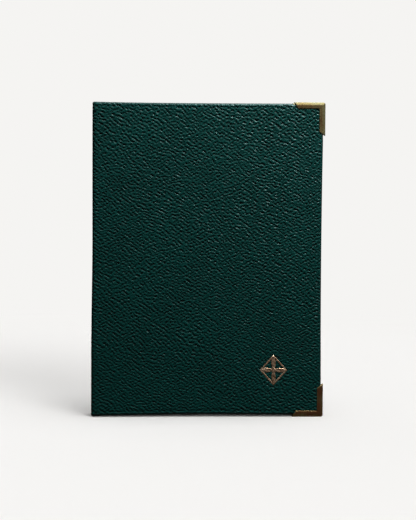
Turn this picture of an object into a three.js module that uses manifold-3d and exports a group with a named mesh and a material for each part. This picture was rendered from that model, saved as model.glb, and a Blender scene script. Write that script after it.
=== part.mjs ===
// Pocket notebook standing upright: a slip-in leather cover with brass corners,
// holding a sewn paper refill. Millimetres, +Z up, front cover facing -Y,
// spine at -X, fore-edge at +X.
//
// Everything is laid out in cover coordinates first: x runs from the outside of
// the spine to the fore-edge, z from the table up, and "depth" from the outside
// of a cover inward. The last step moves the whole group so that the middle of
// its footprint is at the origin.
import * as THREE from "three";
import { mergeVertices } from "three/addons/utils/BufferGeometryUtils.js";
import { RoundedBoxGeometry } from "three/addons/geometries/RoundedBoxGeometry.js";
import Module from "manifold-3d";

const wasm = await Module();
wasm.setup();

// ---------------------------------------------------------------- cover sizes
const COVER_WIDTH = 100; // outside of the spine to the leather's fore-edge
const COVER_HEIGHT = 135.5; // leather, between head and tail
const THICKNESS = 10.4; // over both covers, leather to leather
const BRASS_PROUD = 0.9; // how far the corners stand out past the leather
const GAP = 0.05; // glue line between pieces that lie on each other

const LEATHER = 0.9; // outer hide
const BOARD = 0.75; // stiffener inside the hide
const TURN_IN_DEPTH = 2.4; // outside of the hide to the face of its turned-in edge
const TURN_IN_WIDTH = 7;
const LINING = 0.4;
const FLAP = 0.6; // pocket leather
const LEATHER_EDGE_RADIUS = 0.8;

const HINGE_CLEARANCE = 0.1; // between the hinge corner and a cover's hide
const BOARD_START = 2.8; // a cover's stiff part starts this far from the spine's outside
const HEAD_CAP_RISE = 0.7; // the rolled hide at the spine's head
const SPINE_TURN_IN_DEPTH = 2.2; // slightly less than a cover's, for room to close
const SPINE_LAYER_CLEARANCE = 0.2; // from the spine hide's sides to its board and lining

// --------------------------------------------------------------- pocket sizes
const FLAP_WIDTH = 45;
const FLAP_INSET = 3.2; // from the leather's edges
const FLAP_RIM = 2; // glued edge of the back flap
const FRONT_FLAP_FACE = 3.05; // depth of the pocket side that faces the paper
const BACK_FLAP_FACE = 3.45;

// --------------------------------------------------------------- refill sizes
const PAGE_WIDTH = 88;
const PAGE_HEIGHT = 124.5;
const SIGNATURE = 0.8; // eight leaves
const CARD = 0.35;
const FOLD_X = 4.3; // the folds' distance from the outside of the spine
const GUTTER_Y = 0; // where the refill opens: the back of the second signature
const TAPE = 0.3; // cloth tape on the folds
const TAPE_X = 3.3;
const TAPE_FLANGE = 9.7;
const THREAD_RADIUS = 0.2;
const THREAD_MARGIN = 14; // from the ends of the folds to the outer stitches
const FLANGE_GAP = 0.15; // between the last signature and the tape's flange

// ---------------------------------------------------------------- brass sizes
const CORNER_WALL = 0.35;
const CORNER_FACE_WIDTH = 2.6; // as seen from the front
const CORNER_FLAT_LEG = 13.5; // along the head or tail
const CORNER_UPRIGHT_LEG = 14.3; // along the fore-edge
const CORNER_END_SLANT = 1.7;
const CORNER_BEVEL = 0.35;

// ----------------------------------------------------------------- foil stamp
const MARK_X = 79.1; // centre, in cover coordinates
const MARK_Z = 20.5;
const MARK_HALF_WIDTH = 6.1;
const MARK_HALF_HEIGHT = 6.8;
const MARK_LINE = 0.75;
const MARK_PETAL_WIDTH = 1.9;
const MARK_BOSS_RADIUS = 1.14;
const MARK_THICKNESS = 0.1;

// -------------------------------------------------------------- modelling aids
const CUT = 1; // how far a cutting block reaches past what it cuts
const SPARE = 7; // a cover's hide is drawn this much too long at the hinge, then cut
const EDGE_SEGMENTS = 3; // facets round an edge
const CURVE_SEGMENTS = 6; // facets along a petal's side or half of the thread
const MERGE_DISTANCE = 1e-5;

// ------------------------------------------------------------- derived levels
const TAIL = BRASS_PROUD; // underside of the leather; the corners touch the table
const HEAD = TAIL + COVER_HEIGHT;
const BRASS_TOP = HEAD + BRASS_PROUD;
const BRASS_FORE_EDGE = COVER_WIDTH + BRASS_PROUD;
const HALF = THICKNESS / 2;
const PAGE_BOTTOM = TAIL + (COVER_HEIGHT - PAGE_HEIGHT) / 2;
const PAGE_TOP = PAGE_BOTTOM + PAGE_HEIGHT;
const FRONT = -1;
const BACK = 1;

// ------------------------------------------------------------------ materials
const look = (color, roughness, metalness = 0) => ({ color, roughness, metalness });
const LOOKS = {
  leather: look(0x10302c, 0.55),
  pocket: look(0x17332f, 0.6),
  lining: look(0x2b302d, 0.9),
  board: look(0x8d8370, 0.9),
  brass: look(0x8a6a3c, 0.35, 1),
  foil: look(0xb08a5a, 0.4, 1),
  card: look(0xb59a6e, 0.85),
  paper: look(0xefe8d6, 0.85),
  cloth: look(0x3c3a36, 0.9),
  thread: look(0xd8cfba, 0.8),
};

// -------------------------------------------------------------------- helpers
const group = new THREE.Group();
group.name = "pocket_notebook";

function addPiece(name, lookName, geometry) {
  const mesh = new THREE.Mesh(geometry, new THREE.MeshStandardMaterial(LOOKS[lookName]));
  mesh.name = name;
  group.add(mesh);
}

function toManifold(geometry) {
  const bare = geometry.clone();
  bare.deleteAttribute("normal");
  bare.deleteAttribute("uv");
  const merged = mergeVertices(bare, MERGE_DISTANCE);
  return new wasm.Manifold(
    new wasm.Mesh({
      numProp: 3,
      vertProperties: new Float32Array(merged.attributes.position.array),
      triVerts: new Uint32Array(merged.index.array),
    }),
  );
}

function toGeometry(solid) {
  const mesh = solid.getMesh();
  const geometry = new THREE.BufferGeometry();
  geometry.setAttribute("position", new THREE.BufferAttribute(mesh.vertProperties, 3));
  geometry.setIndex(new THREE.BufferAttribute(mesh.triVerts, 1));
  const flat = geometry.toNonIndexed();
  flat.computeVertexNormals();
  return flat;
}

function boxGeometry(x, y, z) {
  const geometry = new THREE.BoxGeometry(x[1] - x[0], y[1] - y[0], z[1] - z[0]);
  return geometry.translate((x[0] + x[1]) / 2, (y[0] + y[1]) / 2, (z[0] + z[1]) / 2);
}

function roundedBoxGeometry(x, y, z, radius) {
  const size = [x[1] - x[0], y[1] - y[0], z[1] - z[0]];
  const geometry = new RoundedBoxGeometry(...size, EDGE_SEGMENTS, radius);
  return geometry.translate((x[0] + x[1]) / 2, (y[0] + y[1]) / 2, (z[0] + z[1]) / 2);
}

// y range of a layer of one cover, given as depths from the cover's outside
function layer(side, from, to) {
  const a = side * (HALF - from);
  const b = side * (HALF - to);
  return [Math.min(a, b), Math.max(a, b)];
}

const solidBox = (x, y, z) => toManifold(boxGeometry(x, y, z));

// ---------------------------------------------------------- one cover's layers
// The hide is a tray: an outer sheet with its head, tail and fore-edge turned in
// over the board. The spine side is left open.
function coverHide(side) {
  const outside = toManifold(
    roundedBoxGeometry(
      [-SPARE, COVER_WIDTH],
      layer(side, 0, TURN_IN_DEPTH),
      [TAIL, HEAD],
      LEATHER_EDGE_RADIUS,
    ),
  );
  const spineSide = solidBox(
    [-SPARE - CUT, HINGE_CLEARANCE],
    [-HALF - CUT, HALF + CUT],
    [TAIL - CUT, HEAD + CUT],
  );
  const boardRoom = solidBox(
    [-SPARE, COVER_WIDTH - LEATHER],
    layer(side, LEATHER, LEATHER + BOARD + 2 * GAP),
    [TAIL + LEATHER, HEAD - LEATHER],
  );
  const opening = solidBox(
    [-SPARE, COVER_WIDTH - TURN_IN_WIDTH],
    layer(side, LEATHER, TURN_IN_DEPTH + CUT),
    [TAIL + TURN_IN_WIDTH, HEAD - TURN_IN_WIDTH],
  );
  // the turned-in edge stops where the stiff part starts, so the hinge can fold
  const hingeRoom = solidBox(
    [-SPARE, BOARD_START],
    layer(side, LEATHER, TURN_IN_DEPTH + CUT),
    [TAIL - CUT, HEAD + CUT],
  );
  const tray = outside.subtract(boardRoom).subtract(opening);
  return toGeometry(tray.subtract(spineSide).subtract(hingeRoom));
}

function coverBoard(side) {
  return boxGeometry(
    [BOARD_START, COVER_WIDTH - LEATHER - GAP],
    layer(side, LEATHER + GAP, LEATHER + GAP + BOARD),
    [TAIL + LEATHER + GAP, HEAD - LEATHER - GAP],
  );
}

function coverLining(side) {
  const from = LEATHER + BOARD + 3 * GAP;
  return boxGeometry(
    [BOARD_START, COVER_WIDTH - TURN_IN_WIDTH - GAP],
    layer(side, from, from + LINING),
    [TAIL + TURN_IN_WIDTH + GAP, HEAD - TURN_IN_WIDTH - GAP],
  );
}

// Pocket leather along the fore-edge. Where the card slides in, the flap stands
// off on a glued rim along its head, tail and fore-edge.
function coverFlap(side, faceDepth) {
  const edge = COVER_WIDTH - FLAP_INSET;
  const x = [edge - FLAP_WIDTH, edge];
  const z = [TAIL + FLAP_INSET, HEAD - FLAP_INSET];
  const foot = TURN_IN_DEPTH + GAP;
  const panel = solidBox(x, layer(side, foot, faceDepth), z);
  const underside = faceDepth - FLAP;
  if (underside - foot < GAP) {
    return toGeometry(panel);
  }
  const cardRoom = solidBox(
    [x[0] - CUT, x[1] - FLAP_RIM],
    layer(side, foot - CUT, underside),
    [z[0] + FLAP_RIM, z[1] - FLAP_RIM],
  );
  return toGeometry(panel.subtract(cardRoom));
}

// ------------------------------------------------------------- brass corners
// A folded channel in the shape of an L that grips the cover's edge. It is drawn
// for the tail and mirrored for the head.
function cornerOutline() {
  const inset = CORNER_BEVEL;
  const right = BRASS_FORE_EDGE - inset;
  const bottom = inset;
  const faceRight = BRASS_FORE_EDGE - CORNER_FACE_WIDTH + inset;
  const faceTop = CORNER_FACE_WIDTH - inset;
  const left = BRASS_FORE_EDGE - CORNER_FLAT_LEG + inset;
  const top = CORNER_UPRIGHT_LEG - inset;
  return new THREE.Shape([
    new THREE.Vector2(left, bottom),
    new THREE.Vector2(right, bottom),
    new THREE.Vector2(right, top),
    new THREE.Vector2(faceRight, top - CORNER_END_SLANT),
    new THREE.Vector2(faceRight, faceTop),
    new THREE.Vector2(left + CORNER_END_SLANT, faceTop),
  ]);
}

function brassCorner(side, atHead) {
  const outerDepth = -GAP - CORNER_WALL;
  const innerDepth = TURN_IN_DEPTH + GAP + CORNER_WALL;
  const y = layer(side, outerDepth, innerDepth);
  const geometry = new THREE.ExtrudeGeometry(cornerOutline(), {
    depth: y[1] - y[0] - 2 * CORNER_BEVEL,
    bevelThickness: CORNER_BEVEL,
    bevelSize: CORNER_BEVEL,
    bevelSegments: EDGE_SEGMENTS,
  });
  // drawn in x-y and extruded along z: stand it up so the outline lies in x-z
  geometry.rotateX(Math.PI / 2);
  geometry.translate(0, y[1] - CORNER_BEVEL, 0);
  const coverRoom = solidBox(
    [0, COVER_WIDTH + GAP],
    layer(side, -GAP, TURN_IN_DEPTH + GAP),
    [TAIL - GAP, HEAD],
  );
  const corner = toManifold(geometry).subtract(coverRoom);
  if (!atHead) {
    return toGeometry(corner);
  }
  return toGeometry(corner.mirror([0, 0, 1]).translate([0, 0, BRASS_TOP]));
}

// --------------------------------------------------------------------- covers
for (const [label, side, flapFace] of [
  ["front", FRONT, FRONT_FLAP_FACE],
  ["back", BACK, BACK_FLAP_FACE],
]) {
  addPiece(`${label}_leather`, "leather", coverHide(side));
  addPiece(`${label}_board`, "board", coverBoard(side));
  addPiece(`${label}_lining`, "lining", coverLining(side));
  addPiece(`${label}_flap`, "pocket", coverFlap(side, flapFace));
  addPiece(`${label}_corner_head`, "brass", brassCorner(side, true));
  addPiece(`${label}_corner_tail`, "brass", brassCorner(side, false));
}

// ---------------------------------------------------------------------- spine
// Same build as a cover, turned a quarter: here the depth runs along +x. The
// rolled caps at head and tail are as tall as the brass corners' reach, so the
// tail cap is the third thing the notebook stands on.
const SPINE_HALF_WIDTH = HALF - LEATHER - GAP;
const SPINE_CAP_TOP = HEAD + HEAD_CAP_RISE;

function spineHide() {
  const y = [-SPINE_HALF_WIDTH, SPINE_HALF_WIDTH];
  const outside = toManifold(
    roundedBoxGeometry(
      [0, SPINE_TURN_IN_DEPTH],
      [y[0] - 2 * CUT, y[1] + 2 * CUT],
      [0, SPINE_CAP_TOP],
      LEATHER_EDGE_RADIUS / 2,
    ),
  );
  const slice = solidBox([-CUT, SPINE_TURN_IN_DEPTH + CUT], y, [-CUT, SPINE_CAP_TOP + CUT]);
  const boardRoom = solidBox(
    [LEATHER, LEATHER + BOARD + 2 * GAP],
    [y[0] - CUT, y[1] + CUT],
    [TAIL + LEATHER, HEAD - LEATHER],
  );
  const opening = solidBox(
    [LEATHER, SPINE_TURN_IN_DEPTH + CUT],
    [y[0] - CUT, y[1] + CUT],
    [TAIL + TURN_IN_WIDTH, HEAD - TURN_IN_WIDTH],
  );
  return toGeometry(outside.intersect(slice).subtract(boardRoom).subtract(opening));
}

function spineLayer(depth, thickness, endInset) {
  const halfWidth = SPINE_HALF_WIDTH - SPINE_LAYER_CLEARANCE;
  return boxGeometry(
    [depth, depth + thickness],
    [-halfWidth, halfWidth],
    [TAIL + endInset, HEAD - endInset],
  );
}

addPiece("spine_leather", "leather", spineHide());
addPiece("spine_board", "board", spineLayer(LEATHER + GAP, BOARD, LEATHER + GAP));
addPiece(
  "spine_lining",
  "lining",
  spineLayer(LEATHER + BOARD + 3 * GAP, LINING, TURN_IN_WIDTH + GAP),
);

// --------------------------------------------------------------------- refill
// Four sewn signatures stacked from front to back around the gutter, with a
// loose card in front and a card behind that is tucked in the back pocket. The
// front card and the first three signatures turn about the tape's inner face at
// the gutter, in the order they are stacked.
const PAGE_X = [FOLD_X, FOLD_X + PAGE_WIDTH];
const PAGE_Z = [PAGE_BOTTOM, PAGE_TOP];

const signatureBacks = [
  GUTTER_Y - SIGNATURE - GAP,
  GUTTER_Y,
  GUTTER_Y + SIGNATURE + GAP,
  GUTTER_Y + 2 * (SIGNATURE + GAP),
];
signatureBacks.forEach((backY, index) => {
  const pages = boxGeometry(PAGE_X, [backY - SIGNATURE, backY], PAGE_Z);
  addPiece(`signature_${index + 1}`, "paper", pages);
});

const frontCardBack = signatureBacks[0] - SIGNATURE - GAP;
addPiece("front_card", "card", boxGeometry(PAGE_X, [frontCardBack - CARD, frontCardBack], PAGE_Z));

const backCardDepth = TURN_IN_DEPTH + GAP;
addPiece(
  "back_card",
  "card",
  boxGeometry(PAGE_X, layer(BACK, backCardDepth, backCardDepth + CARD), PAGE_Z),
);

// Cloth tape over the folds that stay with the back cover, with a flange that
// joins the last signature to the back card.
const flangeFront = signatureBacks[3] + FLANGE_GAP;
const flangeBack = flangeFront + TAPE;
const tapeOutline = new THREE.Shape([
  new THREE.Vector2(TAPE_X, GUTTER_Y + GAP),
  new THREE.Vector2(TAPE_X + TAPE, GUTTER_Y + GAP),
  new THREE.Vector2(TAPE_X + TAPE, flangeFront),
  new THREE.Vector2(TAPE_X + TAPE_FLANGE, flangeFront),
  new THREE.Vector2(TAPE_X + TAPE_FLANGE, flangeBack),
  new THREE.Vector2(TAPE_X, flangeBack),
]);
const tape = new THREE.ExtrudeGeometry(tapeOutline, { depth: PAGE_HEIGHT, bevelEnabled: false });
addPiece("spine_tape", "cloth", tape.translate(0, 0, PAGE_BOTTOM));

// One long stitch lies along the folds, between them and the tape.
const STITCH_X = (TAPE_X + TAPE + FOLD_X) / 2;
const stitchPath = new THREE.LineCurve3(
  new THREE.Vector3(STITCH_X, signatureBacks[2], PAGE_BOTTOM + THREAD_MARGIN),
  new THREE.Vector3(STITCH_X, signatureBacks[2], PAGE_TOP - THREAD_MARGIN),
);
const threadSection = new THREE.Shape();
threadSection.absarc(0, 0, THREAD_RADIUS, 0, Math.PI * 2);
addPiece(
  "sewing_thread",
  "thread",
  new THREE.ExtrudeGeometry(threadSection, {
    extrudePath: stitchPath,
    steps: 1,
    curveSegments: CURVE_SEGMENTS,
    bevelEnabled: false,
  }),
);

// ----------------------------------------------------------------- foil stamp
// A plain bookbinder's lozenge: a thin diamond frame around four petals.
function lozengePoints(halfWidth, halfHeight) {
  return [
    new THREE.Vector2(halfWidth, 0),
    new THREE.Vector2(0, halfHeight),
    new THREE.Vector2(-halfWidth, 0),
    new THREE.Vector2(0, -halfHeight),
  ];
}

function petalShape(length, width) {
  const petal = new THREE.Shape();
  petal.moveTo(0, 0);
  petal.quadraticCurveTo(width, length / 2, 0, length);
  petal.quadraticCurveTo(-width, length / 2, 0, 0);
  return petal;
}

function stampSheet(shape) {
  const geometry = new THREE.ExtrudeGeometry(shape, {
    depth: MARK_THICKNESS,
    curveSegments: CURVE_SEGMENTS,
    bevelEnabled: false,
  });
  return toManifold(geometry);
}

const frame = new THREE.Shape(lozengePoints(MARK_HALF_WIDTH, MARK_HALF_HEIGHT));
const holeScale = 1 - MARK_LINE * Math.hypot(1 / MARK_HALF_WIDTH, 1 / MARK_HALF_HEIGHT);
const hole = lozengePoints(MARK_HALF_WIDTH * holeScale, MARK_HALF_HEIGHT * holeScale);
frame.holes.push(new THREE.Path(hole.reverse()));
let mark = stampSheet(frame);
for (let quarter = 0; quarter < 4; quarter += 1) {
  const reach = quarter % 2 === 0 ? MARK_HALF_HEIGHT : MARK_HALF_WIDTH;
  const petal = stampSheet(petalShape(reach - MARK_LINE / 2, MARK_PETAL_WIDTH));
  mark = mark.add(petal.rotate([0, 0, quarter * 90]));
}
const boss = new THREE.Shape();
boss.absarc(0, 0, MARK_BOSS_RADIUS, 0, Math.PI * 2);
mark = mark.add(stampSheet(boss));
const markGeometry = toGeometry(mark);
markGeometry.rotateX(Math.PI / 2);
markGeometry.translate(MARK_X, -HALF - GAP, MARK_Z);
addPiece("foil_mark", "foil", markGeometry);

// --------------------------------------------------------------------- origin
for (const mesh of group.children) {
  mesh.geometry.translate(-BRASS_FORE_EDGE / 2, 0, 0);
}

export default group;
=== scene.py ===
"""Looks of the pocket notebook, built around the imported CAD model.

Lengths are millimetres while a shape is worked out, and metres once it is a mesh.
Cover coordinates are used throughout: "across" runs from the outside of the spine
to the fore-edge, "out" from the middle of the closed notebook towards the outside
of a cover, and z up from the table.
"""

import math

import bmesh
import bpy
import numpy as np
from mathutils import Matrix, Vector


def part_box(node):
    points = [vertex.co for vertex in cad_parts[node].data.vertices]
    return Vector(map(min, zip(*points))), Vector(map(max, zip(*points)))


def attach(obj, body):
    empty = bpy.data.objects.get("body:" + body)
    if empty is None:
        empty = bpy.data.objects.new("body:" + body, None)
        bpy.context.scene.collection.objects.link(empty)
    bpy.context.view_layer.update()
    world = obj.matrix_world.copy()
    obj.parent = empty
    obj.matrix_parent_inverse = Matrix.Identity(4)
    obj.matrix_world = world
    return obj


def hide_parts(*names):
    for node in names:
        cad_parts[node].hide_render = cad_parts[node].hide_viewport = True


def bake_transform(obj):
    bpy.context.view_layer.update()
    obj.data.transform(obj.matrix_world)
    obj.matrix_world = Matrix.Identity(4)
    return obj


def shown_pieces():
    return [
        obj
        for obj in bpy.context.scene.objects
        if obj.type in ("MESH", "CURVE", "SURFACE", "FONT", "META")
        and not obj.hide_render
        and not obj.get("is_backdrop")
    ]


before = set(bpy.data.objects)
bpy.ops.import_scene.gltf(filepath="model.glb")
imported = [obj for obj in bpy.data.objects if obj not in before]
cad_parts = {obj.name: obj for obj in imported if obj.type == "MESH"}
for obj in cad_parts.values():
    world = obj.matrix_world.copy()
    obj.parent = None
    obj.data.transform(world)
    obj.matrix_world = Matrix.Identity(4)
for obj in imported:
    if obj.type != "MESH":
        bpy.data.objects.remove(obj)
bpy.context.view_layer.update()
MM = 0.001


def box_mm(node):
    """Lowest and highest corner of a CAD node, in millimetres."""
    low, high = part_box(node)
    return np.array(low) / MM, np.array(high) / MM


# ------------------------------------------------------------ sizes from the CAD
FRONT_LOW, FRONT_HIGH = box_mm("front_leather")
CORNER_LOW, CORNER_HIGH = box_mm("front_corner_tail")
MARK_LOW, MARK_HIGH = box_mm("foil_mark")
SPINE_X = box_mm("spine_leather")[0][0]
WIDTH = FRONT_HIGH[0] - SPINE_X
HALF = box_mm("back_leather")[1][1]  # half the thickness of the closed notebook
TAIL = FRONT_LOW[2]
HEAD = FRONT_HIGH[2]
HIDE_DEPTH = FRONT_HIGH[1] + HALF  # outside of the hide to its turned-in face
BRASS_REACH = CORNER_HIGH[0] - SPINE_X
BRASS_TOP = box_mm("front_corner_head")[1][2]
BRASS_LEG_REACH = BRASS_TOP / 2 - CORNER_HIGH[2]  # half the bare length of the fore-edge

# --------------------------------------------------------------- looks of the hide
GRAIN_STEP_ACROSS = 0.52  # spacing of the hide's mesh where the grain shows
GRAIN_STEP_UP = 0.36
SPINE_ROUND = 1.1  # radius of the spine's outer corners
EDGE_ROUND = 0.9
TURN_IN = 7.0  # width of the hide folded in over the board
HINGE_GIVE = 0.6  # how far the inside of the hinge lies back, to clear the open refill
CREASE_INSET = 1.65  # from the leather's edge to the line pressed along it
CREASE_DEPTH = 0.09
RIM_HEIGHT = 0.04  # the hide swells between that line and the edge
GRAIN_DEPTH = 0.31
GRAIN_FADE = 0.45  # share of that depth which is lost towards the tail
GRAIN_PITCH = 1.3  # usual distance from one ridge of the grain to the next
GRAIN_SPREAD = 0.42  # how far that distance strays, as a share of it
GRAIN_LEANS = (  # directions that the ridges run in, how far they stray, and their strength
    (math.radians(38), math.radians(30), 1.0),
    (math.radians(-36), math.radians(34), 0.65),
)
GRAIN_FLATNESS = 1.1  # how flat the pebbles' tops are
GRAIN_TILE = 192.0  # side of the square of hide that the grain is worked out on
GRAIN_CELLS = 768
GRAIN_LEVELS = (-2.0, 0.75)  # depths of the deepest furrow and the highest top


# ==================================================================== small tools
def smoothstep(value, low, high):
    """Rises smoothly from 0 at low to 1 at high. Low may be the greater of the two."""
    t = np.clip((value - low) / (high - low), 0, 1)
    return t * t * (3 - 2 * t)


def ridge_field(pitch, seed):
    """A square of ridges and furrows that repeats without a seam, evenly scattered
    round zero with a usual depth of one."""
    rate = np.fft.fftfreq(GRAIN_CELLS, GRAIN_TILE / GRAIN_CELLS)
    rate_u, rate_v = np.meshgrid(rate, rate, indexing="ij")
    ring = np.exp(-(((np.hypot(rate_u, rate_v) * pitch - 1) / GRAIN_SPREAD) ** 2))
    heading = np.arctan2(rate_v, rate_u) + math.pi / 2
    lean = np.zeros_like(ring)
    for direction, stray, strength in GRAIN_LEANS:
        off = np.angle(np.exp(2j * (heading - direction))) / 2
        lean += strength * np.exp(-((off / stray) ** 2))
    noise = np.random.default_rng(seed).normal(size=ring.shape)
    field = np.fft.ifft2(np.fft.fft2(noise) * ring * lean).real
    nearby = np.exp(-((rate_u**2 + rate_v**2) * (1.6 * pitch * math.pi) ** 2))
    strength = np.sqrt(np.fft.ifft2(np.fft.fft2(field**2) * nearby).real.clip(0))
    field /= strength + 0.15 * strength.mean()
    return field / field.std()


def between_cells(table, cell_u, cell_v, part_u, part_v):
    """Values part of the way from one cell of a repeating square table to the next."""
    size = len(table)
    corners = [
        table[(cell_u + i) % size, (cell_v + j) % size] for i in (0, 1) for j in (0, 1)
    ]
    low = corners[0] * (1 - part_v) + corners[1] * part_v
    high = corners[2] * (1 - part_v) + corners[3] * part_v
    return low * (1 - part_u) + high * part_u


def read_field(field, u, v):
    """Values of a ridge field at any places on the hide, in millimetres."""
    cells = len(field)
    at_u, at_v = u * cells / GRAIN_TILE, v * cells / GRAIN_TILE
    cell_u, cell_v = np.floor(at_u).astype(int), np.floor(at_v).astype(int)
    return between_cells(field, cell_u, cell_v, at_u - cell_u, at_v - cell_v)


def drift(u, v, seed):
    """Smooth noise from -1 to 1 that changes over about one unit."""
    table = np.random.default_rng(seed).uniform(-1, 1, (64, 64))
    cell_u, cell_v = np.floor(u).astype(int), np.floor(v).astype(int)
    part_u = smoothstep(u - cell_u, 0, 1)
    part_v = smoothstep(v - cell_v, 0, 1)
    return between_cells(table, cell_u, cell_v, part_u, part_v)


def quad_grid(rows, columns, wrap_rows=False, wrap_columns=False):
    """Faces of a grid of points numbered row by row."""
    numbers = np.arange(rows * columns).reshape(rows, columns)
    if wrap_rows:
        numbers = np.vstack([numbers, numbers[:1]])
    if wrap_columns:
        numbers = np.hstack([numbers, numbers[:, :1]])
    quads = [numbers[:-1, :-1], numbers[1:, :-1], numbers[1:, 1:], numbers[:-1, 1:]]
    return np.stack([q.ravel() for q in quads], 1)


def make_mesh(name, points, faces, material, smooth=True):
    """A mesh object from points in millimetres, with across measured from the spine."""
    placed = np.array(points, float).reshape(-1, 3) + [SPINE_X, 0, 0]
    mesh = bpy.data.meshes.new(name)
    mesh.from_pydata((placed * MM).tolist(), [], [list(map(int, f)) for f in faces])
    mesh.polygons.foreach_set("use_smooth", [smooth] * len(mesh.polygons))
    mesh.materials.append(material)
    mesh.update()
    piece = bpy.data.objects.new(name, mesh)
    bpy.context.scene.collection.objects.link(piece)
    return piece


def keep_values(piece, name, values):
    """Stores one number or one vector for each point, for the material to read."""
    values = np.asarray(values, np.float32)
    kind, field = ("FLOAT", "value") if values.ndim == 1 else ("FLOAT_VECTOR", "vector")
    piece.data.attributes.new(name, kind, "POINT").data.foreach_set(field, values.ravel())


def face_outward(piece):
    """Makes the faces of a closed mesh point out of it."""
    work = bmesh.new()
    work.from_mesh(piece.data)
    bmesh.ops.recalc_face_normals(work, faces=work.faces)
    work.to_mesh(piece.data)
    work.free()


# ====================================================================== materials
class Shader:
    """A Principled material with short calls for the nodes that feed it."""

    def __init__(self, name, **sockets):
        self.material = bpy.data.materials.new(name)
        self.material.use_nodes = True
        self.tree = self.material.node_tree
        self.surface = self.tree.nodes["Principled BSDF"]
        for label, value in sockets.items():
            self.surface.inputs[label.replace("_", " ")].default_value = value

    def node(self, kind, inputs=None, **settings):
        """A new node. Each input is either a number or the output of another node."""
        made = self.tree.nodes.new(kind)
        for label, value in settings.items():
            setattr(made, label, value)
        for label, value in (inputs or {}).items():
            if isinstance(value, bpy.types.NodeSocket):
                self.tree.links.new(value, made.inputs[label])
            else:
                made.inputs[label].default_value = value
        return made

    def link(self, socket, label):
        self.tree.links.new(socket, self.surface.inputs[label])

    def stored(self, name, vector=False):
        """What keep_values has stored for each point."""
        node = self.node("ShaderNodeAttribute", attribute_name=name)
        return node.outputs["Vector" if vector else "Fac"]

    def place(self):
        """The place on the object, in metres."""
        return self.node("ShaderNodeTexCoord").outputs["Object"]

    def noise(self, where, scale, detail=3.0, roughness=0.55):
        inputs = {"Vector": where, "Scale": scale, "Detail": detail, "Roughness": roughness}
        return self.node("ShaderNodeTexNoise", inputs).outputs["Fac"]

    def ramp(self, value, stops):
        node = self.node("ShaderNodeValToRGB", {"Fac": value})
        elements = node.color_ramp.elements
        while len(elements) < len(stops):
            elements.new(0.5)
        for element, (position, color) in zip(elements, stops):
            element.position = position
            element.color = (*color, 1)
        return node.outputs["Color"]

    def remap(self, value, low, high):
        inputs = {"Value": value, "To Min": low, "To Max": high}
        return self.node("ShaderNodeMapRange", inputs).outputs["Result"]

    def math(self, operation, a, b):
        return self.node("ShaderNodeMath", {0: a, 1: b}, operation=operation).outputs[0]

    def bump(self, height, distance, strength=1.0, under=None):
        inputs = {"Height": height, "Distance": distance, "Strength": strength}
        if under is not None:
            inputs["Normal"] = under
        return self.node("ShaderNodeBump", inputs).outputs["Normal"]


HIDE_GLOSS = (0.65, 0.95, 0.93, 1)  # the dye shows through the finish of the hide


def leather_material(name, shaded_valley, top, roughness, grain_bump, fine_bump):
    """Dyed hide with painted shade in its furrows and lighter pebble tops, as the light falls on
    the grain; slightly glossier on its pebbles.
    """
    shader = Shader(name, Specular_IOR_Level=0.2, Specular_Tint=HIDE_GLOSS)
    where = shader.stored("rest", vector=True)
    height = shader.stored("grain")
    blotch = shader.noise(where, 0.045, 2.0)
    shade = shader.math("ADD", height, shader.remap(blotch, -0.22, 0.22))
    middle = tuple((a + b) / 2 for a, b in zip(shaded_valley, top))
    # painted shade: the colour darkens from the pebble tops down into the furrows
    shader.link(shader.ramp(shade, [(0.1, shaded_valley), (0.5, middle), (0.95, top)]), "Base Color")
    speckle = shader.noise(where, 1.7, 4.0, 0.6)
    rough = shader.math("ADD", shader.remap(height, roughness + 0.1, roughness - 0.04),
                        shader.remap(speckle, -0.08, 0.08))
    shader.link(rough, "Roughness")
    turned = shader.node(
        "ShaderNodeMapping",
        {"Vector": where, "Rotation": (0, 0, -math.radians(40)), "Scale": (0.45, 1.1, 1)},
    ).outputs["Vector"]
    wrinkles = shader.node(
        "ShaderNodeTexVoronoi",
        {"Vector": turned, "Scale": 1.0},
        feature="DISTANCE_TO_EDGE",
    ).outputs["Distance"]
    grained = shader.bump(height, grain_bump)
    crease = shader.node("ShaderNodeMapRange", {"Value": wrinkles, "From Max": 0.16})
    first = shader.bump(crease.outputs["Result"], fine_bump * 0.9, 1.0, grained)
    second = shader.bump(shader.noise(where, 3.2, 4.0, 0.65), fine_bump, 0.4, first)
    shader.link(second, "Normal")
    return shader.material


def cloth_material(name, dark, light, threads_per_mm):
    """Plain weave: two crossed sets of threads."""
    shader = Shader(name, Roughness=0.92, Specular_IOR_Level=0.2, Sheen_Weight=0.25)
    where = shader.stored("rest", vector=True)
    waves = []
    for direction in ("X", "Y"):
        waves.append(
            shader.node(
                "ShaderNodeTexWave",
                {"Vector": where, "Scale": threads_per_mm, "Distortion": 0.6,
                 "Detail": 1.0, "Detail Scale": 2.0},
                bands_direction=direction,
            ).outputs["Fac"]
        )
    weave = shader.math("MAXIMUM", waves[0], waves[1])
    shader.link(shader.ramp(weave, [(0.2, dark), (0.9, light)]), "Base Color")
    shader.link(shader.bump(weave, 0.00006, 0.8), "Normal")
    return shader.material


def paper_material(name, dark, light, fibre_scale):
    """Uncoated stock with faint cloudiness and fibres."""
    shader = Shader(name, Roughness=0.88, Specular_IOR_Level=0.25)
    where = shader.place()
    cloud = shader.noise(where, fibre_scale, 5.0, 0.7)
    shader.link(shader.ramp(cloud, [(0.3, dark), (0.7, light)]), "Base Color")
    shader.link(shader.bump(shader.noise(where, fibre_scale * 6, 3.0), 0.00003, 0.5), "Normal")
    return shader.material


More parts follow.
